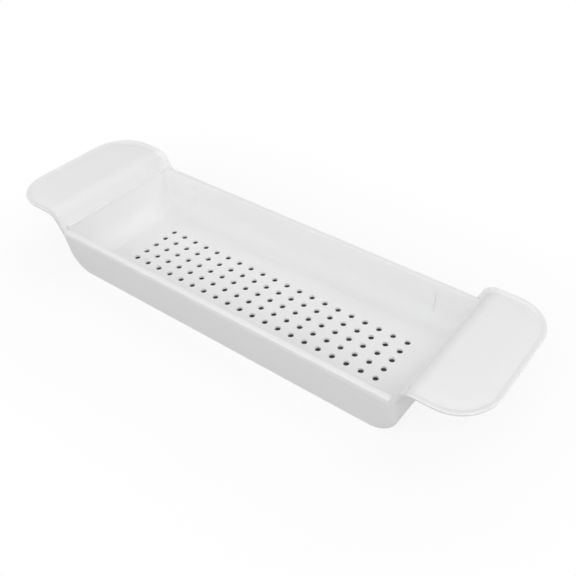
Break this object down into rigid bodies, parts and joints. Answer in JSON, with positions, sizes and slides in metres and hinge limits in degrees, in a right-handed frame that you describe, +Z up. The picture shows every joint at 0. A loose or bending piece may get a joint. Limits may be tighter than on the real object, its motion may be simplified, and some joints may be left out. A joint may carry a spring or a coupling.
{
  "type": "bath caddy",
  "caption": "Long plastic tray with a perforated floor, a rolled rim on its long sides and a raised wing at each end that rests on the bath.",
  "frame": {"origin": "middle of the bath caddy in plan, at the level on which its foot stands", "axes": "+X along the bath caddy from wing to wing, +Y across it, +Z up"},
  "size_m": [0.6808, 0.194, 0.0829],
  "materials": {
    "tray_plastic": "white polypropylene, satin, as it leaves the mould",
    "grip_rubber": "soft pale grey thermoplastic rubber, matte"
  },
  "bodies": {
    "root": {"tray_moulding": "tray_plastic", "left_inner_grip_strip": "grip_rubber", "left_outer_grip_strip": "grip_rubber", "right_inner_grip_strip": "grip_rubber", "right_outer_grip_strip": "grip_rubber"}
  },
  "joints": []
}
